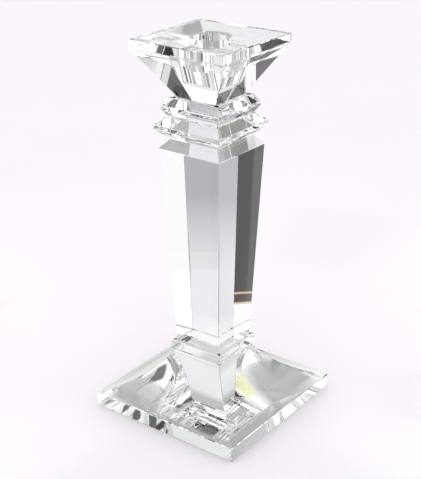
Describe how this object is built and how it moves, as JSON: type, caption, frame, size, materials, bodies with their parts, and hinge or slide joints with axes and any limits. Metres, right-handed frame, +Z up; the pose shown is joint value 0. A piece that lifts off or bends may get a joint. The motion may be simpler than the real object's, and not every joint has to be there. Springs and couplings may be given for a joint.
{
  "type": "glass candlestick",
  "caption": "Clear crystal candlestick: square foot with hollow-curved sides, plinth plate, tapering square column, stepped square collars and a spreading square cup with a blind candle bore.",
  "frame": {"origin": "centre of the foot's underside, on the candlestick's centre line", "axes": "+Z up the centre line to the candle cup; +X and +Y square to the sides of the foot"},
  "size_m": [0.104, 0.104, 0.23],
  "materials": {
    "optical_glass": "polished clear optical glass with a faint green cast, cut and polished flat faces",
    "clear_adhesive": "clear cured adhesive film, matched to the glass"
  },
  "bodies": {
    "root": {"foot_block": "optical_glass", "plinth_plate": "optical_glass", "column": "optical_glass", "lower_collar": "optical_glass", "upper_collar": "optical_glass", "candle_cup": "optical_glass", "adhesive_foot_block_to_plinth_plate": "clear_adhesive", "adhesive_plinth_plate_to_column": "clear_adhesive", "adhesive_column_to_lower_collar": "clear_adhesive", "adhesive_lower_collar_to_upper_collar": "clear_adhesive", "adhesive_upper_collar_to_candle_cup": "clear_adhesive"}
  },
  "joints": []
}
